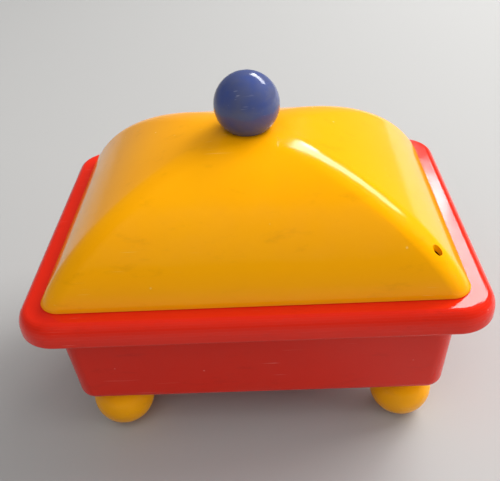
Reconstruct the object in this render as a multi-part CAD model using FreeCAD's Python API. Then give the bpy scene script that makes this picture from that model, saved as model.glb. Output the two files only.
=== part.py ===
import FreeCAD, Part
import math
import os

# Lidded butter dish, in millimetres: a tray with a wide down-turned rim stands on four
# balls, and a vaulted lid with a ball knob sits on the rim. The origin is on the table
# under the middle of the dish, +X runs along it, +Y goes to the back and +Z is up.

# Rim of the tray
RIM_LENGTH = 170.0
RIM_WIDTH = 133.0
RIM_CORNER_RADIUS = 15.0
RIM_EDGE_RADIUS = 4.0
RIM_PLATE = 3.0
RIM_SKIRT_HEIGHT = 9.0
RIM_SKIRT_WALL = 2.4
RIM_LIP_RADIUS = 0.8

# Walls and floor of the tray
TRAY_HEIGHT = 50.0
TRAY_INSET = 10.6
TRAY_DRAFT = 2.8
TRAY_WALL = 3.0
TRAY_FLOOR = 3.0
TRAY_CORNER_RADIUS = 7.0
TRAY_BOTTOM_RADIUS = 4.0
TRAY_INNER_RADIUS = 3.0

# Low bead round the mouth of the tray that keeps the lid in place
BEAD_HEIGHT = 1.5
BEAD_CLEARANCE = 0.5
BEAD_EDGE_RADIUS = 0.4

# Vaulted lid: each pair of faces is an elliptical arch whose centre lies below the rim
LID_MARGIN = 8.4
LID_RISE = 40.6
LID_WALL = 2.2
LID_CORNER_RADIUS = 8.0
END_ARCH_DROP = 26.7
SIDE_ARCH_DROP = 3.9
CROWN_CUT = 0.35
LID_SECTIONS = 9
CROWN_ROUND_SHARE = 0.95

# Vent through the hip over the front right corner; its turn is counted round the hip from the end face
VENT_DIAMETER = 3.4
VENT_HEIGHT = 15.2
VENT_TURN = math.radians(38)

# Balls, used for the knob and the feet
BALL_DIAMETER = 25.0
BALL_SEAT_CUT = 2.8
FOOT_FLAT_DIAMETER = 5.0
FOOT_FROM_SIDE = 13.9
FOOT_PAD_DIAMETER = 17.0
FOOT_PAD_HEIGHT = 1.0

# Threaded bush moulded into each ball
INSERT_DIAMETER = 8.0
INSERT_WAIST_DIAMETER = 6.8
INSERT_COLLAR = 3.0
INSERT_LENGTH = 9.0
INSERT_GAP = 0.05
BALL_BORE_DEPTH = 11.0

# Button-head screws and their sealing washers
SCREW_DIAMETER = 5.0
SCREW_LENGTH = 12.0
SCREW_TIP_CHAMFER = 0.5
SCREW_HEAD_DIAMETER = 9.5
SCREW_HEAD_TOP_DIAMETER = 5.0
SCREW_HEAD_HEIGHT = 2.75
SCREW_HEAD_EDGE = 0.5
SCREW_DOME_BULGE = 0.15
SOCKET_SIDES = 6
SOCKET_WIDTH = 3.0
SOCKET_DEPTH = 1.6
THREAD_GAP = 0.05
SCREW_HOLE_GAP = 0.25
WASHER_DIAMETER = 12.0
WASHER_THICKNESS = 1.0
KNOB_BOSS_DIAMETER = 16.0
KNOB_BOSS_THICKNESS = 4.0

# Length by which a cutting shape runs past the face that it opens
CUT_PAST = 1.0

UP = FreeCAD.Vector(0, 0, 1)
ALONG = FreeCAD.Vector(1, 0, 0)
QUARTER_TURN = 90
HALF_TURN = 180
FULL_TURN = 360
QUADRANTS = ((1, 1), (-1, 1), (-1, -1), (1, -1))
FEET = {
    "front_left": (-1, -1),
    "front_right": (1, -1),
    "rear_left": (-1, 1),
    "rear_right": (1, 1),
}

# Sizes that follow from the ones above
ball_radius = BALL_DIAMETER / 2
seat_to_centre = ball_radius - BALL_SEAT_CUT
seat_radius = math.sqrt(ball_radius ** 2 - seat_to_centre ** 2)
foot_height = seat_to_centre + math.sqrt(ball_radius ** 2 - (FOOT_FLAT_DIAMETER / 2) ** 2)
tray_bottom = foot_height + FOOT_PAD_HEIGHT
floor_top = tray_bottom + TRAY_FLOOR
rim_top = tray_bottom + TRAY_HEIGHT
plate_bottom = rim_top - RIM_PLATE
bead_top = rim_top + BEAD_HEIGHT
lid_half_length = RIM_LENGTH / 2 - LID_MARGIN
lid_half_width = RIM_WIDTH / 2 - LID_MARGIN
knob_seat = LID_RISE - CROWN_CUT
foot_x = RIM_LENGTH / 2 - TRAY_INSET - TRAY_DRAFT - FOOT_FROM_SIDE
foot_y = RIM_WIDTH / 2 - TRAY_INSET - TRAY_DRAFT - FOOT_FROM_SIDE
screw_hole_radius = SCREW_DIAMETER / 2 + SCREW_HOLE_GAP


def rounded_rectangle(half_x, half_y, radius, height):
    """Closed outline of four arcs and four lines, centred on the Z axis."""
    arcs = []
    for quadrant, (side_x, side_y) in enumerate(QUADRANTS):
        centre = FreeCAD.Vector(side_x * (half_x - radius), side_y * (half_y - radius), height)
        start = quadrant * QUARTER_TURN
        arcs.append(Part.makeCircle(radius, centre, UP, start, start + QUARTER_TURN))
    edges = []
    for arc, following in zip(arcs, arcs[1:] + arcs[:1]):
        edges.append(arc)
        edges.append(Part.makeLine(arc.lastVertex().Point, following.firstVertex().Point))
    return Part.Wire(edges)


def rounded_block(half_x, half_y, radius, bottom, top):
    """Upright block with rounded corners between two heights."""
    face = Part.Face(rounded_rectangle(half_x, half_y, radius, bottom))
    return face.extrude(UP * (top - bottom))


def cylinder(diameter, bottom, top, x=0.0, y=0.0):
    """Upright cylinder between two heights."""
    return Part.makeCylinder(diameter / 2, top - bottom, FreeCAD.Vector(x, y, bottom))


def revolve(edges):
    """Solid of revolution about the Z axis from a closed outline in the XZ plane."""
    face = Part.Face(Part.Wire(edges))
    return face.revolve(FreeCAD.Vector(), UP, FULL_TURN)


def outline(points):
    """Edges of a closed polygon through (radius, height) points in the XZ plane."""
    corners = [FreeCAD.Vector(radius, 0, height) for radius, height in points]
    return [Part.makeLine(start, end) for start, end in zip(corners, corners[1:] + corners[:1])]


def edges_at(shape, height):
    """Edges of a shape that lie in the level plane at a height."""
    flat = []
    for edge in shape.Edges:
        box = edge.BoundBox
        if max(abs(box.ZMin - height), abs(box.ZMax - height)) < Part.Precision.approximation():
            flat.append(edge)
    return flat


def standing_edges(shape):
    """Edges of a shape that climb from one height to another."""
    return [edge for edge in shape.Edges if edge.BoundBox.ZLength > Part.Precision.approximation()]


def wall_half_sizes(height, offset):
    """Half length and half width of the tray's outer wall at a height, moved in by an offset."""
    lean = TRAY_DRAFT * (plate_bottom - height) / (plate_bottom - tray_bottom)
    inset = TRAY_INSET + lean + offset
    return RIM_LENGTH / 2 - inset, RIM_WIDTH / 2 - inset


def drafted_block(bottom, top, offset):
    """Block between two heights whose sides run parallel to the tray's outer wall, offset inside it."""
    low_x, low_y = wall_half_sizes(bottom, offset)
    high_x, high_y = wall_half_sizes(top, offset)
    block = Part.makeWedge(-low_x, bottom, -low_y, -high_y, -high_x, low_x, top, low_y, high_y, high_x)
    block.rotate(FreeCAD.Vector(), ALONG, QUARTER_TURN)
    return block.makeFillet(TRAY_CORNER_RADIUS - offset, standing_edges(block))


def make_tray():
    """Tray with its hollow rim, drafted walls, locating bead and seats for the feet."""
    skirt_bottom = rim_top - RIM_SKIRT_HEIGHT
    rim = rounded_block(RIM_LENGTH / 2, RIM_WIDTH / 2, RIM_CORNER_RADIUS, skirt_bottom, rim_top)
    rim = rim.makeFillet(RIM_EDGE_RADIUS, edges_at(rim, rim_top))
    rim = rim.makeFillet(RIM_LIP_RADIUS, edges_at(rim, skirt_bottom))
    channel = rounded_block(
        RIM_LENGTH / 2 - RIM_SKIRT_WALL,
        RIM_WIDTH / 2 - RIM_SKIRT_WALL,
        RIM_CORNER_RADIUS - RIM_SKIRT_WALL,
        skirt_bottom - CUT_PAST,
        plate_bottom,
    )
    body = drafted_block(tray_bottom, plate_bottom + CUT_PAST, 0)
    body = body.makeFillet(TRAY_BOTTOM_RADIUS, edges_at(body, tray_bottom))
    bead = rounded_block(*vault_section(BEAD_HEIGHT, LID_WALL + BEAD_CLEARANCE), plate_bottom, bead_top)
    bead = bead.makeFillet(BEAD_EDGE_RADIUS, edges_at(bead, bead_top))
    well = drafted_block(floor_top, bead_top + CUT_PAST, TRAY_WALL)
    well = well.makeFillet(TRAY_INNER_RADIUS, edges_at(well, floor_top))
    tray = rim.cut(channel).fuse([body, bead])
    for side_x, side_y in FEET.values():
        x = side_x * foot_x
        y = side_y * foot_y
        tray = tray.fuse(cylinder(FOOT_PAD_DIAMETER, foot_height, tray_bottom + CUT_PAST, x, y))
    tray = tray.cut(well)
    for side_x, side_y in FEET.values():
        x = side_x * foot_x
        y = side_y * foot_y
        tray = tray.cut(cylinder(2 * screw_hole_radius, foot_height - CUT_PAST, floor_top + CUT_PAST, x, y))
    return tray.removeSplitter()


def arch_reach(height, half_span, drop, inset):
    """Half width of an elliptical arch at a height above the rim, moved in by a wall's thickness."""
    crown = LID_RISE + drop
    springing = half_span / math.sqrt(1 - (drop / crown) ** 2)
    share = (height + drop) / (crown - inset)
    return (springing - inset) * math.sqrt(1 - share ** 2)


def vault_section(height, inset):
    """Half length, half width and corner radius of the vault at a height above the rim."""
    half_x = arch_reach(height, lid_half_length, END_ARCH_DROP, inset)
    half_y = arch_reach(height, lid_half_width, SIDE_ARCH_DROP, inset)
    radius = min(LID_CORNER_RADIUS - inset, CROWN_ROUND_SHARE * min(half_x, half_y))
    return half_x, half_y, radius


def vault(base, inset):
    """Loft through level sections that close in towards the crown in even steps."""
    crown = LID_RISE - inset
    widest = math.sqrt(crown - base)
    narrowest = math.sqrt(CROWN_CUT)
    sections = []
    for step in range(LID_SECTIONS):
        share = step / (LID_SECTIONS - 1)
        height = crown - (widest + (narrowest - widest) * share) ** 2
        half_x, half_y, radius = vault_section(height, inset)
        sections.append(rounded_rectangle(half_x, half_y, radius, rim_top + height))
    return Part.makeLoft(sections, True, False)


def make_lid():
    """Vaulted shell with a screw boss under its crown and a vent through one hip."""
    seat = rim_top + knob_seat
    boss_bottom = seat - KNOB_BOSS_THICKNESS
    boss = cylinder(KNOB_BOSS_DIAMETER, boss_bottom, seat - CROWN_CUT)
    lid = vault(0, 0).cut(vault(-CUT_PAST, LID_WALL)).fuse(boss)
    lid = lid.cut(cylinder(2 * screw_hole_radius, boss_bottom - CUT_PAST, seat + CUT_PAST))
    half_x, half_y, radius = vault_section(VENT_HEIGHT, 0)
    vent_x = half_x - radius * (1 - math.cos(VENT_TURN))
    vent_y = radius * (1 - math.sin(VENT_TURN)) - half_y
    return lid.cut(cylinder(VENT_DIAMETER, rim_top, rim_top + LID_RISE, vent_x, vent_y))


def bush_outline(gap, mouth):
    """Outline of the waisted bush from the ball's seat inwards, with its walls moved out by a gap."""
    bore = SCREW_DIAMETER / 2 + THREAD_GAP
    collar = INSERT_DIAMETER / 2 + gap
    waist = INSERT_WAIST_DIAMETER / 2 + gap
    waist_start = INSERT_COLLAR + gap
    waist_end = INSERT_LENGTH - INSERT_COLLAR - gap
    return outline([
        (bore, mouth),
        (collar, mouth),
        (collar, waist_start),
        (waist, waist_start),
        (waist, waist_end),
        (collar, waist_end),
        (collar, INSERT_LENGTH),
        (bore, INSERT_LENGTH),
    ])


def make_insert():
    """Waisted brass bush, with its mouth at height zero."""
    return revolve(bush_outline(0, 0))


def make_ball(end_radius, end_height):
    """Ball standing on its flat seat at height zero, hollowed for its bush and the screw's tip."""
    start = FreeCAD.Vector(seat_radius, 0, 0)
    widest = FreeCAD.Vector(ball_radius, 0, seat_to_centre)
    end = FreeCAD.Vector(end_radius, 0, end_height)
    top = FreeCAD.Vector(0, 0, end_height)
    edges = [Part.makeLine(FreeCAD.Vector(), start), Part.Arc(start, widest, end).toShape()]
    if end_radius > 0:
        edges.append(Part.makeLine(end, top))
    edges.append(Part.makeLine(top, FreeCAD.Vector()))
    ball = revolve(edges).cut(revolve(bush_outline(INSERT_GAP, -CUT_PAST)))
    return ball.cut(cylinder(SCREW_DIAMETER + 2 * THREAD_GAP, -CUT_PAST, BALL_BORE_DEPTH))


def make_screw():
    """Button-head screw with a hexagon socket, its head resting on height zero and its tip below."""
    shank = SCREW_DIAMETER / 2
    head = SCREW_HEAD_DIAMETER / 2
    crown = SCREW_HEAD_TOP_DIAMETER / 2
    dome_start = FreeCAD.Vector(head, 0, SCREW_HEAD_EDGE)
    dome_end = FreeCAD.Vector(crown, 0, SCREW_HEAD_HEIGHT)
    outward = FreeCAD.Vector(dome_end.z - dome_start.z, 0, dome_start.x - dome_end.x)
    middle = (dome_start + dome_end) / 2 + outward * SCREW_DOME_BULGE
    dome = Part.Arc(dome_start, middle, dome_end).toShape()
    corners = [
        (crown, SCREW_HEAD_HEIGHT),
        (0, SCREW_HEAD_HEIGHT),
        (0, -SCREW_LENGTH),
        (shank - SCREW_TIP_CHAMFER, -SCREW_LENGTH),
        (shank, SCREW_TIP_CHAMFER - SCREW_LENGTH),
        (shank, 0),
        (head, 0),
        (head, SCREW_HEAD_EDGE),
    ]
    screw = revolve(outline(corners)[:-1] + [dome])
    socket_radius = SOCKET_WIDTH / 2 / math.cos(math.pi / SOCKET_SIDES)
    points = []
    for corner in range(SOCKET_SIDES + 1):
        angle = 2 * math.pi * corner / SOCKET_SIDES
        x = socket_radius * math.cos(angle)
        y = socket_radius * math.sin(angle)
        points.append(FreeCAD.Vector(x, y, SCREW_HEAD_HEIGHT))
    socket = Part.Face(Part.makePolygon(points)).extrude(UP * -SOCKET_DEPTH)
    return screw.cut(socket)


def make_washer():
    """Flat sealing washer lying on height zero."""
    ring = cylinder(WASHER_DIAMETER, 0, WASHER_THICKNESS)
    return ring.cut(cylinder(2 * screw_hole_radius, -CUT_PAST, WASHER_THICKNESS + CUT_PAST))


def placed(shape, x, y, height, turned_over):
    """Copy of a shape moved to a place, upside down where it hangs."""
    copy = shape.copy()
    if turned_over:
        copy.rotate(FreeCAD.Vector(), ALONG, HALF_TURN)
    copy.translate(FreeCAD.Vector(x, y, height))
    return copy


def make_dish():
    """All pieces of the dish by name, with the lid on the tray."""
    seat = rim_top + knob_seat
    boss_bottom = seat - KNOB_BOSS_THICKNESS
    foot = make_ball(FOOT_FLAT_DIAMETER / 2, foot_height)
    insert = make_insert()
    screw = make_screw()
    washer = make_washer()
    pieces = {
        "tray": make_tray(),
        "lid": make_lid(),
        "knob": placed(make_ball(0, seat_to_centre + ball_radius), 0, 0, seat, False),
        "knob_insert": placed(insert, 0, 0, seat, False),
        "knob_washer": placed(washer, 0, 0, boss_bottom, True),
        "knob_screw": placed(screw, 0, 0, boss_bottom - WASHER_THICKNESS, True),
    }
    for corner, (side_x, side_y) in FEET.items():
        x = side_x * foot_x
        y = side_y * foot_y
        pieces["foot_" + corner] = placed(foot, x, y, foot_height, True)
        pieces["foot_insert_" + corner] = placed(insert, x, y, foot_height, True)
        pieces["foot_washer_" + corner] = placed(washer, x, y, floor_top, False)
        pieces["foot_screw_" + corner] = placed(screw, x, y, floor_top + WASHER_THICKNESS, False)
    return pieces


os.makedirs("parts", exist_ok=True)
for name, shape in make_dish().items():
    shape.exportStep(os.path.join("parts", name + ".step"))
    print(name, shape.isValid(), len(shape.Solids), round(shape.Volume, 1))
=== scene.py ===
import math

import bmesh
import bpy
import numpy as np
from mathutils import Matrix, Vector


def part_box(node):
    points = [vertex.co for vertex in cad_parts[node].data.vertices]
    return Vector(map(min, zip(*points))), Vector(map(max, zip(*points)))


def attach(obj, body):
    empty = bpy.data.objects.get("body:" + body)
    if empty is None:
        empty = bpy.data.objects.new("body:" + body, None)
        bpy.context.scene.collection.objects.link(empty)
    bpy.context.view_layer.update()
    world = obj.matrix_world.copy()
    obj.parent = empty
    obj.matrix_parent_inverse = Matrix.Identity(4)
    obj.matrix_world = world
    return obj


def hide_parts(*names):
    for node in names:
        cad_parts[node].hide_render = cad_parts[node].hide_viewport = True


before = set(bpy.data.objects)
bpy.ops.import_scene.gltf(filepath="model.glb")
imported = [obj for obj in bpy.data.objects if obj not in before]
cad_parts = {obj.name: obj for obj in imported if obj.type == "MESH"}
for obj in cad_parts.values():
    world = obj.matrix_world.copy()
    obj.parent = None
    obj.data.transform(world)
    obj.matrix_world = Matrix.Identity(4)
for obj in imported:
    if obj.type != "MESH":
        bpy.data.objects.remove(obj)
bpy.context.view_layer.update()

# Lengths are in millimetres in the numbers below and in metres in the meshes
MM = 0.001

# Tray
RIM_HALF = np.array([85.0, 66.5])
RIM_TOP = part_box("lid")[0].z / MM
RIM_CORNER = 15.0
RIM_EDGE = 4.0
RIM_EDGE_DROP = 6.0
RIM_PLATE = 3.0
RIM_SKIRT = 9.0
RIM_SKIRT_WALL = 2.4
RIM_LIP = 1.2
TRAY_HEIGHT = 50.0
TRAY_INSET = 10.6
TRAY_DRAFT = 2.8
TRAY_WALL = 3.0
TRAY_FLOOR = 3.0
TRAY_CORNER = 7.0
TRAY_BOTTOM_ROUND = 4.0
TRAY_INNER_ROUND = 3.0
BEAD_HEIGHT = 1.5
BEAD_CLEARANCE = 0.5
BEAD_ROUND = 0.4

# Rectangle in the middle of the tray's floor where its rings end
FLOOR_MIDDLE = np.array([20.0, 2.0])
FLOOR_MIDDLE_CORNER = 1.0

# Lid
LID_MARGIN = 8.4
LID_HALF = RIM_HALF - LID_MARGIN
LID_RISE = 40.6
LID_WALL = 2.2
LID_CORNER = 8.0
LID_EDGE = 0.4
END_ARCH_DROP = 26.7
SIDE_ARCH_DROP = 3.9
CROWN_CUT = 0.35
CROWN_ROUND_SHARE = 0.95
BOSS_RADIUS = 8.0
BOSS_THICKNESS = 4.0
VENT_RADIUS = 1.7
VENT_HEIGHT = 15.2
VENT_TURN = math.radians(38)

# Balls, bushes, screws and washers
BALL_RADIUS = 12.5
BALL_SEAT_CUT = 2.8
BALL_SEAT_ROUND = 0.4
KNOB_FLAT = 0.02
FOOT_FLAT = 2.5
PAD_RADIUS = 8.5
PAD_HEIGHT = 1.0
PAD_ROUND = 0.3
BUSH_RADIUS = 4.0
BUSH_WAIST = 3.4
BUSH_COLLAR = 3.0
BUSH_LENGTH = 9.0
BUSH_GAP = 0.05
BORE_RADIUS = 2.55
BORE_DEPTH = 11.0
SCREW_RADIUS = 2.5
SCREW_LENGTH = 12.0
SCREW_TIP = 0.5
SCREW_HOLE = 2.75
HEAD_RADIUS = 4.75
HEAD_TOP_RADIUS = 2.5
HEAD_HEIGHT = 2.75
HEAD_EDGE = 0.5
SOCKET_HALF = 1.5
SOCKET_DEPTH = 1.6
SOCKET_SIDES = 6
WASHER_RADIUS = 6.0
WASHER_THICKNESS = 1.0
WASHER_ROUND = 0.25

# Steps of the grids: round a corner, along a long and a short side, round an edge, up the vault,
# round a turned piece and over a ball
ARC_STEPS = 16
SIDE_STEPS = (34, 26)
ROUND_STEPS = 8
VAULT_STEPS = 72
TURN_STEPS = 144
BALL_STEPS = 72

# Lengths used in shaping and joining the grids, and the steepest fold that is still shaded smooth
EDGE_HOLD = 0.12
LONG_RUN = 0.5
CUT_PAST = 1.0
MERGE = 0.0001
SMOOTH_ANGLE = math.radians(35)

FEET = {
    "front_left": (-1, -1),
    "front_right": (1, -1),
    "rear_left": (-1, 1),
    "rear_right": (1, 1),
}

# Heights and places that follow from the ones above
tray_bottom = RIM_TOP - TRAY_HEIGHT
floor_top = tray_bottom + TRAY_FLOOR
foot_seat = tray_bottom - PAD_HEIGHT
knob_seat = RIM_TOP + LID_RISE - CROWN_CUT
boss_bottom = knob_seat - BOSS_THICKNESS
foot_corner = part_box("foot_rear_right")
foot_x = (foot_corner[0].x + foot_corner[1].x) / 2 / MM
foot_y = (foot_corner[0].y + foot_corner[1].y) / 2 / MM
foot_places = np.array([(side_x * foot_x, side_y * foot_y, 0) for side_x, side_y in FEET.values()])

# Camera of the photograph, fitted to the dish's outlines
PHOTO_WIDTH = 500
FOCAL_PIXELS = 682.5
CAMERA_PLACE = np.array([8.95, -237.9, 227.73])
CAMERA_PITCH = math.radians(35.094)
CAMERA_YAW = math.radians(-2.695)
CAMERA_ROLL = math.radians(3.941)

# Table top, lamps and the camera's near limit, in metres
TABLE_REACH = 1.6
LAMP_DISTANCE = 2.0
NEAR_CLIP = 0.01

# Brightness of the room against a white sheet, and the rise, as a sine, at which it stops falling
HORIZON_GLOW = 0.3
OVERHEAD_GLOW = 0.13
OVERHEAD_START = 0.4

# Marks in the finishes: their spacing and depth, and how they are drawn out and turned
SMEAR_SPACING = 5.0
SMEAR_DRAW = (0.3, 0.6, 1)
HAIRLINE_SPACING = 0.8
HAIRLINE_DRAW = (0.05, 1, 1)
HAIRLINE_TURN = (0.5, 0.3, 0.6)
PATCH_SPACING = 24.0
SPECK_SPACING = 13.0
RUB_GRAIN = 2.0
GREASE_SPACING = 7.0
WAVE_SPACING = 12.0
WAVE_DEPTH = 0.5
TOOL_MARK_SPACING = 0.5
TOOL_MARK_DRAW = (0.1, 0.1, 1)
RUBBER_GRAIN = 0.6
RUBBER_GRAIN_DEPTH = 0.1

# How strongly the marks show, and how much smoother or rougher they make a surface
RUB_STRENGTH = 0.3
MARK_TINT = 0.5
MARK_DULLING = 0.2
GREASE_DULLING = 0.08
TOOL_MARK_POLISH = 0.08
TOOL_MARK_DULLING = 0.12

# Refraction of the plastics, a number without a unit
PLASTIC_IOR = 1.47

# Places of the colour sockets of a Mix node
MIX_A, MIX_B, MIX_RESULT = 6, 7, 2


def rounded_grid(half_x, half_y, radius, height):
    """Level rounded rectangles as an array of rings.

    A point of a ring is its corner's centre, moved along a side or held at a corner, plus the
    corner radius in the direction of its angle: x = along_x (half_x - r) + r cos(angle).
    """
    along_x, along_y, angle = [], [], []
    corners = ((1, 1), (-1, 1), (-1, -1), (1, -1))
    for quarter, (side_x, side_y) in enumerate(corners):
        next_x, next_y = corners[(quarter + 1) % len(corners)]
        arc = np.linspace(0, math.pi / 2, ARC_STEPS + 1) + quarter * math.pi / 2
        side = np.linspace(0, 1, SIDE_STEPS[quarter % 2] + 1)[1:-1]
        along_x += [np.full(arc.size, side_x), side_x + (next_x - side_x) * side]
        along_y += [np.full(arc.size, side_y), side_y + (next_y - side_y) * side]
        angle += [arc, np.full(side.size, arc[-1])]
    along_x, along_y, angle = map(np.concatenate, (along_x, along_y, angle))
    x = np.outer(half_x - radius, along_x) + np.outer(radius, np.cos(angle))
    y = np.outer(half_y - radius, along_y) + np.outer(radius, np.sin(angle))
    return np.stack([x, y, np.repeat(height[:, None], angle.size, axis=1)], axis=-1)


def turned_grid(profile, sides=0):
    """Rings of a profile of radius and height points turned about Z: x = r cos(t), y = r sin(t).

    With sides, each ring is a regular polygon whose half width is the radius.
    """
    turn = np.linspace(0, 2 * math.pi, TURN_STEPS, endpoint=False)
    stretch = np.ones_like(turn)
    if sides:
        sector = 2 * math.pi / sides
        stretch = 1 / np.cos((turn + sector / 2) % sector - sector / 2)
    x = np.outer(profile[:, 0], stretch * np.cos(turn))
    y = np.outer(profile[:, 0], stretch * np.sin(turn))
    return np.stack([x, y, np.repeat(profile[:, 1:], turn.size, axis=1)], axis=-1)


def quarter_round(start, corner, end):
    """Points of an elliptical quarter turn from start to end, bulging towards the corner.

    A point is the corner, plus 1 - sin(t) of the way to the start and 1 - cos(t) of the way to the end.
    """
    start, corner, end = map(np.asarray, (start, corner, end))
    turn = np.linspace(0, math.pi / 2, ROUND_STEPS + 1)[:, None]
    return corner + (start - corner) * (1 - np.sin(turn)) + (end - corner) * (1 - np.cos(turn))


def held(profile):
    """The profile with a point added near each end of its long runs.

    The points lie EDGE_HOLD along the run from its ends. They keep a flat face flat in smooth
    shading.
    """
    run = np.diff(profile, axis=0)
    length = np.linalg.norm(run, axis=1)
    long = length > LONG_RUN
    step = run * (EDGE_HOLD / np.maximum(length, EDGE_HOLD))[:, None]
    points = np.stack([profile[:-1], profile[:-1] + step, profile[1:] - step], axis=1)
    keep = np.stack([length > 0, long, long], axis=1)
    return np.concatenate([points[keep], profile[-1:]])


def edge_wear(reach, height):
    """How much each ring is rubbed, from 0 to 1.

    It is the turning of the profile, in radians per millimetre, where the profile bends outwards.
    """
    point = np.stack([reach, height], axis=1)
    ahead = np.roll(point, -1, axis=0) - point
    behind = point - np.roll(point, 1, axis=0)
    across = behind[:, 0] * ahead[:, 1] - behind[:, 1] * ahead[:, 0]
    along = np.sum(behind * ahead, axis=1)
    length = (np.linalg.norm(ahead, axis=1) + np.linalg.norm(behind, axis=1)) / 2
    return np.clip(np.arctan2(across, along) / np.maximum(length, EDGE_HOLD), 0, 1)


def shell(name, rings, loop):
    """Mesh object of quads between the neighbouring rings of one or more grids.

    A grid closes on itself in a loop, or is closed by a flat cap at each end.
    """
    grids = rings.reshape(-1, *rings.shape[-3:])
    index = np.arange(grids[..., 0].size).reshape(grids.shape[:3])
    lower = index if loop else index[:, :-1]
    upper = np.roll(index, -1, axis=1) if loop else index[:, 1:]
    quads = np.stack([lower, np.roll(lower, -1, axis=2), np.roll(upper, -1, axis=2), upper], axis=-1)
    faces = quads.reshape(-1, 4).tolist()
    if not loop:
        faces += index[:, 0, ::-1].tolist() + index[:, -1].tolist()
    mesh = bpy.data.meshes.new(name)
    mesh.from_pydata(grids.reshape(-1, 3) * MM, [], faces)
    wear = edge_wear(np.linalg.norm(grids[0, :, 0, :2], axis=1), grids[0, :, 0, 2])
    wear = np.broadcast_to(wear[None, :, None], index.shape)
    mesh.attributes.new("edge_wear", "FLOAT", "POINT").data.foreach_set("value", wear.ravel())
    return finished(name, mesh)


def finished(name, mesh):
    """Object of a mesh whose coinciding points are merged.

    It is shaded smooth where its faces meet at a gentle angle.
    """
    joined = bmesh.new()
    joined.from_mesh(mesh)
    bmesh.ops.remove_doubles(joined, verts=joined.verts, dist=MERGE * MM)
    bmesh.ops.dissolve_degenerate(joined, edges=joined.edges, dist=MERGE * MM)
    joined.to_mesh(mesh)
    joined.free()
    mesh.shade_smooth()
    mesh.set_sharp_from_angle(angle=SMOOTH_ANGLE)
    piece = bpy.data.objects.new(name, mesh)
    bpy.context.scene.collection.objects.link(piece)
    return piece


def carved(piece, operation, tool):
    """The piece joined with a tool's solid, or with it taken away."""
    name = piece.name
    work = piece.modifiers.new("work", "BOOLEAN")
    work.object = tool
    work.operation = operation
    work.solver = "EXACT"
    graph = bpy.context.evaluated_depsgraph_get()
    mesh = bpy.data.meshes.new_from_object(piece.evaluated_get(graph))
    for spare in (piece, tool):
        bpy.data.objects.remove(spare)
    return finished(name, mesh)


def drill(radius, bottom, top):
    """Grid of a plain upright cylinder about the Z axis."""
    return turned_grid(np.array([(radius, bottom), (radius, top)]))


def arch_reach(height, half_span, drop, inset):
    """Half width of an elliptical arch at a height above the rim, moved in by a wall's thickness.

    The ellipse's middle lies drop below the rim, and the arch is half_span wide at the rim: its reach
    is springing times the root of 1 - ((height + drop) / crown) squared.
    """
    crown = LID_RISE + drop
    springing = half_span / math.sqrt(1 - (drop / crown) ** 2)
    return (springing - inset) * np.sqrt(1 - ((height + drop) / (crown - inset)) ** 2)


def vault_section(height, inset):
    """Columns of half length, half width, corner radius and height of the vault's level sections."""
    height = np.atleast_1d(height)
    half_x = arch_reach(height, LID_HALF[0], END_ARCH_DROP, inset)
    half_y = arch_reach(height, LID_HALF[1], SIDE_ARCH_DROP, inset)
    radius = np.minimum(LID_CORNER - inset, CROWN_ROUND_SHARE * np.minimum(half_x, half_y))
    return np.stack([half_x, half_y, radius, RIM_TOP + height], axis=1)


def vault_heights(base, inset):
    """Heights from the base to the crown's flat at which the vault closes in by even steps."""
    crown = LID_RISE - inset
    return crown - np.linspace(math.sqrt(crown - base), math.sqrt(CROWN_CUT), VAULT_STEPS) ** 2


def make_lid():
    """Vaulted shell with its vent.

    Level rounded rectangles run up the outside, down the screw hole, round the boss as circles and
    down the inside. The vent goes straight down through the front right hip.
    """
    outer = vault_section(vault_heights(LID_EDGE, 0), 0)
    inner = vault_section(vault_heights(0, LID_WALL), LID_WALL)[::-1]
    turn = np.linspace(0, math.pi / 2, ROUND_STEPS + 1)[:-1]
    edge = np.repeat(outer[:1], turn.size, axis=0)
    edge[:, :3] -= LID_EDGE * (1 - np.sin(turn))[:, None]
    edge[:, 3] = RIM_TOP + LID_EDGE * (1 - np.cos(turn))
    radius = np.array([SCREW_HOLE, SCREW_HOLE, BOSS_RADIUS, BOSS_RADIUS])
    height = np.array([knob_seat, boss_bottom, boss_bottom, inner[0, 3]])
    boss = held(np.stack([radius, radius, radius, height], axis=1))
    lid = shell("lid_shell", rounded_grid(*np.concatenate([edge, outer, boss, inner]).T), loop=True)
    half_x, half_y, hip, _ = vault_section(VENT_HEIGHT, 0)[0]
    vent = drill(VENT_RADIUS, RIM_TOP, RIM_TOP + LID_RISE)
    vent[..., 0] += half_x - hip * (1 - math.cos(VENT_TURN))
    vent[..., 1] += hip * (1 - math.sin(VENT_TURN)) - half_y
    return carved(lid, "DIFFERENCE", shell("vent_drill", vent, loop=False))


def wall_half(height, offset):
    """Half length and half width of the tray's leaning wall at a height, offset inwards.

    The wall leans in evenly, by TRAY_DRAFT in all, from under the rim's plate to the bottom.
    """
    plate = RIM_TOP - RIM_PLATE
    lean = TRAY_DRAFT * (plate - height) / (plate - tray_bottom)
    return RIM_HALF - TRAY_INSET - lean - offset


def level(half, corner, height):
    """One row of a stack of level sections."""
    return np.array([half[0], half[1], corner, height])


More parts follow.
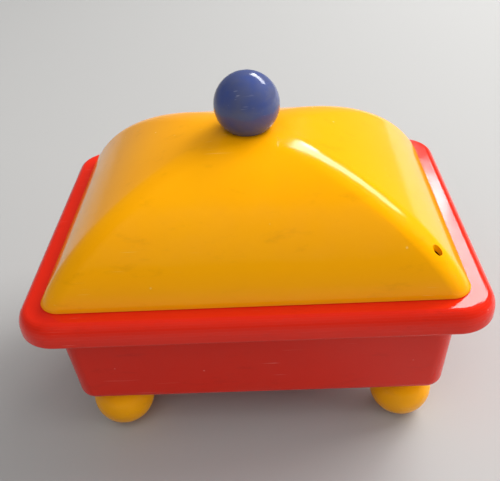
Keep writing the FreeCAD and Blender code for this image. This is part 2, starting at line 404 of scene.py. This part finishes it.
def tray_sections():
    """Level sections of the tray.

    They run from under the floor up the outside of the wall, round the rim and down the inside.
    """
    plate = RIM_TOP - RIM_PLATE
    skirt = RIM_TOP - RIM_SKIRT
    channel = RIM_HALF - RIM_SKIRT_WALL
    channel_corner = RIM_CORNER - RIM_SKIRT_WALL
    well_corner = TRAY_CORNER - TRAY_WALL
    heel = tray_bottom + TRAY_BOTTOM_ROUND
    cove = floor_top + TRAY_INNER_ROUND
    under = wall_half(tray_bottom, 0)
    inside = wall_half(floor_top, TRAY_WALL)
    *bead, bead_corner, bead_top = vault_section(BEAD_HEIGHT, LID_WALL + BEAD_CLEARANCE)[0]
    bead = np.array(bead)
    rows = [
        level(FLOOR_MIDDLE, FLOOR_MIDDLE_CORNER, tray_bottom),
        quarter_round(
            level(under - TRAY_BOTTOM_ROUND, TRAY_CORNER - TRAY_BOTTOM_ROUND, tray_bottom),
            level(under, TRAY_CORNER, tray_bottom),
            level(wall_half(heel, 0), TRAY_CORNER, heel),
        ),
        level(wall_half(plate, 0), TRAY_CORNER, plate),
        level(channel, channel_corner, plate),
        level(channel, channel_corner, skirt),
        quarter_round(
            level(RIM_HALF - RIM_LIP, RIM_CORNER - RIM_LIP, skirt),
            level(RIM_HALF, RIM_CORNER, skirt),
            level(RIM_HALF, RIM_CORNER, skirt + RIM_LIP),
        ),
        quarter_round(
            level(RIM_HALF, RIM_CORNER, RIM_TOP - RIM_EDGE_DROP),
            level(RIM_HALF, RIM_CORNER, RIM_TOP),
            level(RIM_HALF - RIM_EDGE, RIM_CORNER - RIM_EDGE, RIM_TOP),
        ),
        level(bead, bead_corner, RIM_TOP),
        quarter_round(
            level(bead, bead_corner, bead_top - BEAD_ROUND),
            level(bead, bead_corner, bead_top),
            level(bead - BEAD_ROUND, bead_corner - BEAD_ROUND, bead_top),
        ),
        level(wall_half(bead_top, TRAY_WALL), well_corner, bead_top),
        quarter_round(
            level(wall_half(cove, TRAY_WALL), well_corner, cove),
            level(inside, well_corner, floor_top),
            level(inside - TRAY_INNER_ROUND, well_corner - TRAY_INNER_ROUND, floor_top),
        ),
        level(FLOOR_MIDDLE, FLOOR_MIDDLE_CORNER, floor_top),
    ]
    return held(np.concatenate([np.atleast_2d(row) for row in rows]))


def make_tray():
    """Tray with four round pads under its floor and a screw hole through each."""
    tray = shell("tray_shell", rounded_grid(*tray_sections().T), loop=False)
    edge = quarter_round(
        (PAD_RADIUS - PAD_ROUND, foot_seat),
        (PAD_RADIUS, foot_seat),
        (PAD_RADIUS, foot_seat + PAD_ROUND),
    )
    pad = np.concatenate([edge, [(PAD_RADIUS, tray_bottom + CUT_PAST)]])
    pads = turned_grid(held(pad)) + foot_places[:, None, None]
    holes = drill(SCREW_HOLE, foot_seat - CUT_PAST, floor_top + CUT_PAST) + foot_places[:, None, None]
    tray = carved(tray, "UNION", shell("pads", pads, loop=False))
    return carved(tray, "DIFFERENCE", shell("screw_holes", holes, loop=False))


def ball_grid(end):
    """Ball standing on its seat, turned from its half outline.

    The outline goes up the screw bore and the bush's pocket, out along the seat and over the
    sphere, r = R sin(t), z = c + R cos(t), to a flat of the end's radius.
    """
    centre = BALL_RADIUS - BALL_SEAT_CUT
    seat = math.sqrt(BALL_RADIUS ** 2 - centre ** 2)
    low = math.acos(-centre / BALL_RADIUS) - BALL_SEAT_ROUND / BALL_RADIUS
    turn = np.linspace(low, math.asin(end / BALL_RADIUS), BALL_STEPS)
    sphere = np.stack([BALL_RADIUS * np.sin(turn), centre + BALL_RADIUS * np.cos(turn)], axis=1)
    collar = BUSH_RADIUS + BUSH_GAP
    waist = BUSH_WAIST + BUSH_GAP
    waist_start = BUSH_COLLAR + BUSH_GAP
    waist_end = BUSH_LENGTH - waist_start
    pocket = [
        (BORE_RADIUS, BORE_DEPTH),
        (BORE_RADIUS, BUSH_LENGTH),
        (collar, BUSH_LENGTH),
        (collar, waist_end),
        (waist, waist_end),
        (waist, waist_start),
        (collar, waist_start),
        (collar, 0),
    ]
    edge = quarter_round((seat - BALL_SEAT_ROUND, 0), (seat, 0), sphere[0])
    return turned_grid(held(np.concatenate([pocket, edge, sphere[1:]])))


def bush_grid():
    """Waisted bush turned from its half outline, its mouth at height zero."""
    return turned_grid(np.array([
        (BORE_RADIUS, 0),
        (BUSH_RADIUS, 0),
        (BUSH_RADIUS, BUSH_COLLAR),
        (BUSH_WAIST, BUSH_COLLAR),
        (BUSH_WAIST, BUSH_LENGTH - BUSH_COLLAR),
        (BUSH_RADIUS, BUSH_LENGTH - BUSH_COLLAR),
        (BUSH_RADIUS, BUSH_LENGTH),
        (BORE_RADIUS, BUSH_LENGTH),
    ]))


def washer_grid():
    """Washer with rounded edges lying on height zero, turned from its half outline."""
    side = WASHER_RADIUS
    top = WASHER_THICKNESS
    soft = WASHER_ROUND
    return turned_grid(held(np.concatenate([
        [(SCREW_HOLE, 0)],
        quarter_round((side - soft, 0), (side, 0), (side, soft)),
        quarter_round((side, top - soft), (side, top), (side - soft, top)),
        [(SCREW_HOLE, top)],
    ])))


def screw_grid():
    """Button-head screw: the shank and domed head are turned, then hexagons go down into the head."""
    dome = quarter_round(
        (HEAD_RADIUS, HEAD_EDGE),
        (HEAD_RADIUS, HEAD_HEIGHT),
        (HEAD_TOP_RADIUS, HEAD_HEIGHT),
    )
    outside = np.concatenate([
        [(SCREW_RADIUS - SCREW_TIP, -SCREW_LENGTH), (SCREW_RADIUS, SCREW_TIP - SCREW_LENGTH)],
        [(SCREW_RADIUS, 0), (HEAD_RADIUS, 0)],
        dome,
    ])
    socket = np.array([(SOCKET_HALF, HEAD_HEIGHT), (SOCKET_HALF, HEAD_HEIGHT - SOCKET_DEPTH)])
    return np.concatenate([turned_grid(outside), turned_grid(socket, SOCKET_SIDES)])


def linear(code):
    """Linear colour with alpha of an sRGB hex code."""
    value = np.array([int(code[i:i + 2], 16) for i in (1, 3, 5)]) / 255
    value = np.where(value <= 0.04045, value / 12.92, ((value + 0.055) / 1.055) ** 2.4)
    return (*value.tolist(), 1.0)


def every(length):
    """Scale of a pattern whose features lie about a length in millimetres apart."""
    return 1 / (length * MM)


def add(tree, kind, inputs=None, **settings):
    """A new node with its settings, and its inputs set to values or linked to sockets."""
    made = tree.nodes.new(kind)
    for key, value in settings.items():
        setattr(made, key, value)
    for key, value in (inputs or {}).items():
        if isinstance(value, bpy.types.NodeSocket):
            tree.links.new(value, made.inputs[key])
        else:
            made.inputs[key].default_value = value
    return made


def material(name):
    """An empty node material, its tree and its object coordinates."""
    made = bpy.data.materials.new(name)
    made.use_nodes = True
    tree = made.node_tree
    tree.nodes.clear()
    return made, tree, add(tree, "ShaderNodeTexCoord").outputs["Object"]


def gloss_plastic(name, base, shade, grime, scuff, roughness, shine, flow):
    """Gloss plastic from a polished mould: deep even colour under a clear shine.

    The eye also gets faint clouds, flow millimetres apart, smears of grime, a hazy film from hands,
    hairline scratches, a few pale specks and edges that are rubbed a little dull.
    """
    made, tree, place = material(name)
    # Clouds as the melt flowed, wide on a large moulding and small on a ball
    cloud = add(tree, "ShaderNodeTexNoise", {"Vector": place, "Scale": every(flow), "Detail": 3.0})
    colour = add(tree, "ShaderNodeMix", {
        0: cloud.outputs["Fac"],
        MIX_A: linear(base),
        MIX_B: linear(shade),
    }, data_type="RGBA")
    # Thin smears of grime some 15 mm long, wiped level
    wipe = add(tree, "ShaderNodeMapping", {"Vector": place, "Scale": SMEAR_DRAW})
    smear = add(tree, "ShaderNodeTexNoise", {
        "Vector": wipe.outputs["Vector"],
        "Scale": every(SMEAR_SPACING),
        "Detail": 5.0,
        "Roughness": 0.7,
    })
    smear = add(tree, "ShaderNodeMapRange", {
        "Value": smear.outputs["Fac"],
        "From Min": 0.58,
        "From Max": 0.8,
        "To Max": 0.35,
    })
    colour = add(tree, "ShaderNodeMix", {
        0: smear.outputs["Result"],
        MIX_A: colour.outputs[MIX_RESULT],
        MIX_B: linear(grime),
    }, data_type="RGBA")
    # Hairlines some 8 mm long, drawn 0.4 mm wide so that they show, in patches
    lay = add(tree, "ShaderNodeMapping", {
        "Vector": place,
        "Rotation": HAIRLINE_TURN,
        "Scale": HAIRLINE_DRAW,
    })
    hair = add(tree, "ShaderNodeTexNoise", {
        "Vector": lay.outputs["Vector"],
        "Scale": every(HAIRLINE_SPACING),
        "Detail": 1.0,
    })
    hair = add(tree, "ShaderNodeMapRange", {
        "Value": hair.outputs["Fac"],
        "From Min": 0.7,
        "From Max": 0.8,
    })
    patch = add(tree, "ShaderNodeTexNoise", {
        "Vector": place,
        "Scale": every(PATCH_SPACING),
        "Detail": 1.0,
    })
    patch = add(tree, "ShaderNodeMapRange", {
        "Value": patch.outputs["Fac"],
        "From Min": 0.55,
        "From Max": 0.68,
    })
    scratch = add(tree, "ShaderNodeMath", {
        0: hair.outputs["Result"],
        1: patch.outputs["Result"],
    }, operation="MULTIPLY")
    # Specks up to 1 mm across where a cell's point lies in the surface
    speck = add(tree, "ShaderNodeTexVoronoi", {"Vector": place, "Scale": every(SPECK_SPACING)})
    speck = add(tree, "ShaderNodeMapRange", {
        "Value": speck.outputs["Distance"],
        "From Min": 0.04,
        "From Max": 0.02,
    })
    # Edges rubbed in grains of 2 mm
    worn = add(tree, "ShaderNodeAttribute", attribute_name="edge_wear")
    grain = add(tree, "ShaderNodeTexNoise", {
        "Vector": place,
        "Scale": every(RUB_GRAIN),
        "Detail": 4.0,
    })
    rubbed = add(tree, "ShaderNodeMath", {
        0: worn.outputs["Fac"],
        1: grain.outputs["Fac"],
    }, operation="MULTIPLY")
    marks = add(tree, "ShaderNodeMath", {
        0: scratch.outputs[0],
        1: speck.outputs["Result"],
    }, operation="MAXIMUM")
    marks = add(tree, "ShaderNodeMath", {
        0: rubbed.outputs[0],
        1: RUB_STRENGTH,
        2: marks.outputs[0],
    }, operation="MULTIPLY_ADD")
    tint = add(tree, "ShaderNodeMath", {
        0: marks.outputs[0],
        1: MARK_TINT,
    }, operation="MULTIPLY", use_clamp=True)
    colour = add(tree, "ShaderNodeMix", {
        0: tint.outputs[0],
        MIX_A: colour.outputs[MIX_RESULT],
        MIX_B: linear(scuff),
    }, data_type="RGBA")
    # Film of hand grease in smears of 7 mm
    haze = add(tree, "ShaderNodeTexNoise", {
        "Vector": place,
        "Scale": every(GREASE_SPACING),
        "Detail": 6.0,
        "Roughness": 0.7,
    })
    haze = add(tree, "ShaderNodeMapRange", {
        "Value": haze.outputs["Fac"],
        "From Min": 0.4,
        "From Max": 0.75,
        "To Min": roughness,
        "To Max": roughness + GREASE_DULLING,
    })
    dull = add(tree, "ShaderNodeMath", {
        0: marks.outputs[0],
        1: MARK_DULLING,
        2: haze.outputs["Result"],
    }, operation="MULTIPLY_ADD")
    # Slow waves 12 mm apart left by the cooling wall
    wave = add(tree, "ShaderNodeTexNoise", {
        "Vector": place,
        "Scale": every(WAVE_SPACING),
        "Detail": 1.0,
    })
    bump = add(tree, "ShaderNodeBump", {
        "Height": wave.outputs["Fac"],
        "Strength": 0.05,
        "Distance": WAVE_DEPTH * MM,
    })
    surface = add(tree, "ShaderNodeBsdfPrincipled", {
        "Base Color": colour.outputs[MIX_RESULT],
        "Roughness": dull.outputs[0],
        "Normal": bump.outputs["Normal"],
        "IOR": PLASTIC_IOR,
        "Specular IOR Level": shine,
    })
    add(tree, "ShaderNodeOutputMaterial", {"Surface": surface.outputs["BSDF"]})
    return made


def turned_metal(name, base, shade, roughness):
    """Turned metal: bright, with level streaks of tool marks in its colour and shine.

    They lie half a millimetre apart, coarser than real ones so that they show.
    """
    made, tree, place = material(name)
    lay = add(tree, "ShaderNodeMapping", {"Vector": place, "Scale": TOOL_MARK_DRAW})
    marks = add(tree, "ShaderNodeTexNoise", {
        "Vector": lay.outputs["Vector"],
        "Scale": every(TOOL_MARK_SPACING),
        "Detail": 4.0,
    })
    colour = add(tree, "ShaderNodeMix", {
        0: marks.outputs["Fac"],
        MIX_A: linear(base),
        MIX_B: linear(shade),
    }, data_type="RGBA")
    gloss = add(tree, "ShaderNodeMapRange", {
        "Value": marks.outputs["Fac"],
        "To Min": roughness - TOOL_MARK_POLISH,
        "To Max": roughness + TOOL_MARK_DULLING,
    })
    surface = add(tree, "ShaderNodeBsdfPrincipled", {
        "Base Color": colour.outputs[MIX_RESULT],
        "Roughness": gloss.outputs["Result"],
        "Metallic": 1.0,
    })
    add(tree, "ShaderNodeOutputMaterial", {"Surface": surface.outputs["BSDF"]})
    return made


def soft_rubber(name, base, shade):
    """Moulded white rubber: matt, with a fine powdery grain drawn 0.6 mm wide so that it shows."""
    made, tree, place = material(name)
    grain = add(tree, "ShaderNodeTexNoise", {
        "Vector": place,
        "Scale": every(RUBBER_GRAIN),
        "Detail": 4.0,
    })
    colour = add(tree, "ShaderNodeMix", {
        0: grain.outputs["Fac"],
        MIX_A: linear(base),
        MIX_B: linear(shade),
    }, data_type="RGBA")
    bump = add(tree, "ShaderNodeBump", {
        "Height": grain.outputs["Fac"],
        "Strength": 0.15,
        "Distance": RUBBER_GRAIN_DEPTH * MM,
    })
    surface = add(tree, "ShaderNodeBsdfPrincipled", {
        "Base Color": colour.outputs[MIX_RESULT],
        "Normal": bump.outputs["Normal"],
        "Roughness": 0.7,
    })
    add(tree, "ShaderNodeOutputMaterial", {"Surface": surface.outputs["BSDF"]})
    return made


red = gloss_plastic(
    "red_moulded_melamine",
    base="#DE2710", shade="#D5220E", grime="#A81B0E", scuff="#E8786A",
    roughness=0.09, shine=0.35, flow=35,
)
yellow = gloss_plastic(
    "yellow_moulded_melamine",
    base="#F9AA00", shade="#F4A200", grime="#C88300", scuff="#FBD27A",
    roughness=0.09, shine=0.22, flow=35,
)
blue = gloss_plastic(
    "blue_moulded_phenolic",
    base="#2A4590", shade="#5A5C6C", grime="#6E6C76", scuff="#A0A4B4",
    roughness=0.12, shine=0.5, flow=7,
)
brass = turned_metal("turned_brass", base="#C9A35A", shade="#B78F48", roughness=0.3)
steel = turned_metal("turned_stainless_steel", base="#B9BABC", shade="#A5A7AA", roughness=0.28)
rubber = soft_rubber("white_moulded_rubber", base="#DCDAD3", shade="#D2CFC6")


def fit_out(piece, finish, body, node):
    """Gives a piece its finish and its place on a body, and hides the node that it stands for."""
    piece.data.materials.clear()
    piece.data.materials.append(finish)
    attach(piece, body)
    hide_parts(node)


def fit_ball(ball, finish, body, node, inner, place, seat, head_seat, side):
    """A ball with its bush, and the washer and screw that hold it through a wall.

    inner names the bush, washer and screw, with a gap for the kind. side is 1 where the ball stands
    on the wall and -1 where it hangs under it. A hanging piece is turned over about the X axis.
    """
    up = np.array([1, side, side])
    head_up = np.array([1, -side, -side])
    ball_at = place + (0, 0, seat)
    head_at = place + (0, 0, head_seat)
    screw_at = head_at - (0, 0, side * WASHER_THICKNESS)
    ball = shell(node + "_ball", ball * up + ball_at, loop=False)
    bush = shell(inner % "bush", bush_grid() * up + ball_at, loop=True)
    seal = shell(inner % "seal", washer_grid() * head_up + head_at, loop=True)
    bolt = shell(inner % "bolt", screw_grid() * head_up + screw_at, loop=False)
    fit_out(ball, finish, body, node)
    fit_out(bush, brass, body, inner % "insert")
    fit_out(seal, rubber, body, inner % "washer")
    fit_out(bolt, steel, body, inner % "screw")


fit_out(make_tray(), red, "base", "tray")
fit_out(make_lid(), yellow, "cover", "lid")
fit_ball(
    ball_grid(KNOB_FLAT), blue,
    body="cover", node="knob", inner="knob_%s",
    place=np.zeros(3), seat=knob_seat, head_seat=boss_bottom, side=1,
)
for corner, place in zip(FEET, foot_places):
    fit_ball(
        ball_grid(FOOT_FLAT), yellow,
        body="base", node="foot_" + corner, inner="foot_%s_" + corner,
        place=place, seat=foot_seat, head_seat=floor_top, side=-1,
    )


def make_floor():
    """Plain pale table top under the dish."""
    corners = TABLE_REACH * np.array([(-1, -1, 0), (1, -1, 0), (1, 1, 0), (-1, 1, 0)])
    mesh = bpy.data.meshes.new("table_top")
    mesh.from_pydata(corners, [], [range(len(corners))])
    made, tree, _ = material("pale_table_paint")
    surface = add(tree, "ShaderNodeBsdfPrincipled", {
        "Base Color": linear("#ADACAA"),
        "Roughness": 0.7,
    })
    add(tree, "ShaderNodeOutputMaterial", {"Surface": surface.outputs["BSDF"]})
    mesh.materials.append(made)
    table = bpy.data.objects.new("table_top", mesh)
    bpy.context.scene.collection.objects.link(table)


def make_lamp(name, azimuth, elevation, size, glow, mirrored):
    """Soft rectangular lamp that faces the dish from LAMP_DISTANCE away.

    Azimuth is counted from the back towards the right, the size is two angles seen from the dish,
    glow is the lamp's brightness against a white sheet, and only a mirrored lamp shows in gloss.
    """
    lamp = bpy.data.lights.new(name, "AREA")
    lamp.shape = "RECTANGLE"
    lamp.size, lamp.size_y = [2 * LAMP_DISTANCE * math.tan(math.radians(angle) / 2) for angle in size]
    lamp.energy = glow * math.pi * lamp.size * lamp.size_y
    stand = bpy.data.objects.new(name, lamp)
    turn, lift = math.radians(azimuth), math.radians(elevation)
    away = Vector((math.sin(turn) * math.cos(lift), math.cos(turn) * math.cos(lift), math.sin(lift)))
    stand.location = away * LAMP_DISTANCE + Vector((0, 0, RIM_TOP * MM))
    stand.rotation_euler = away.to_track_quat("Z", "Y").to_euler()
    stand.visible_camera = False
    stand.visible_glossy = mirrored
    bpy.context.scene.collection.objects.link(stand)


def make_world():
    """Grey room, brighter near the horizon than overhead."""
    world = bpy.data.worlds.new("room")
    world.use_nodes = True
    tree = world.node_tree
    tree.nodes.clear()
    place = add(tree, "ShaderNodeTexCoord").outputs["Generated"]
    height = add(tree, "ShaderNodeSeparateXYZ", {0: place}).outputs["Z"]
    glow = add(tree, "ShaderNodeMapRange", {
        "Value": height,
        "From Max": OVERHEAD_START,
        "To Min": HORIZON_GLOW,
        "To Max": OVERHEAD_GLOW,
    })
    light = add(tree, "ShaderNodeBackground", {
        "Color": linear("#F2F5FA"),
        "Strength": glow.outputs["Result"],
    })
    add(tree, "ShaderNodeOutputWorld", {"Surface": light.outputs["Background"]})
    bpy.context.scene.world = world


def make_camera():
    """Camera at the photograph's place, turned by its yaw, pitch and roll."""
    lens = bpy.data.cameras.new("photo_camera")
    lens.sensor_fit = "HORIZONTAL"
    lens.lens = FOCAL_PIXELS / PHOTO_WIDTH * lens.sensor_width
    lens.clip_start = NEAR_CLIP
    ahead = Vector((
        math.sin(CAMERA_YAW) * math.cos(CAMERA_PITCH),
        math.cos(CAMERA_YAW) * math.cos(CAMERA_PITCH),
        -math.sin(CAMERA_PITCH),
    ))
    right = ahead.cross(Vector((0, 0, 1))).normalized()
    down = ahead.cross(right)
    turned_right = right * math.cos(CAMERA_ROLL) + down * math.sin(CAMERA_ROLL)
    turned_down = down * math.cos(CAMERA_ROLL) - right * math.sin(CAMERA_ROLL)
    camera = bpy.data.objects.new("photo_camera", lens)
    axes = Matrix((turned_right, -turned_down, -ahead)).transposed()
    camera.matrix_world = Matrix.Translation(CAMERA_PLACE * MM) @ axes.to_4x4()
    bpy.context.scene.collection.objects.link(camera)
    bpy.context.scene.camera = camera


make_floor()
make_lamp("window", azimuth=34, elevation=39, size=(37, 11), glow=12, mirrored=True)
make_lamp("window_pane", azimuth=16.3, elevation=31.2, size=(5, 5), glow=17, mirrored=True)
make_lamp("side_fill", azimuth=62, elevation=37, size=(40, 40), glow=6.2, mirrored=False)
make_lamp("low_fill", azimuth=105, elevation=12, size=(30, 16), glow=7, mirrored=False)
make_lamp("top_fill", azimuth=0, elevation=85, size=(60, 60), glow=0.6, mirrored=False)
make_lamp("front_fill", azimuth=195, elevation=53, size=(50, 50), glow=1.75, mirrored=False)
make_world()
make_camera()
bpy.context.scene.view_settings.view_transform = "Standard"
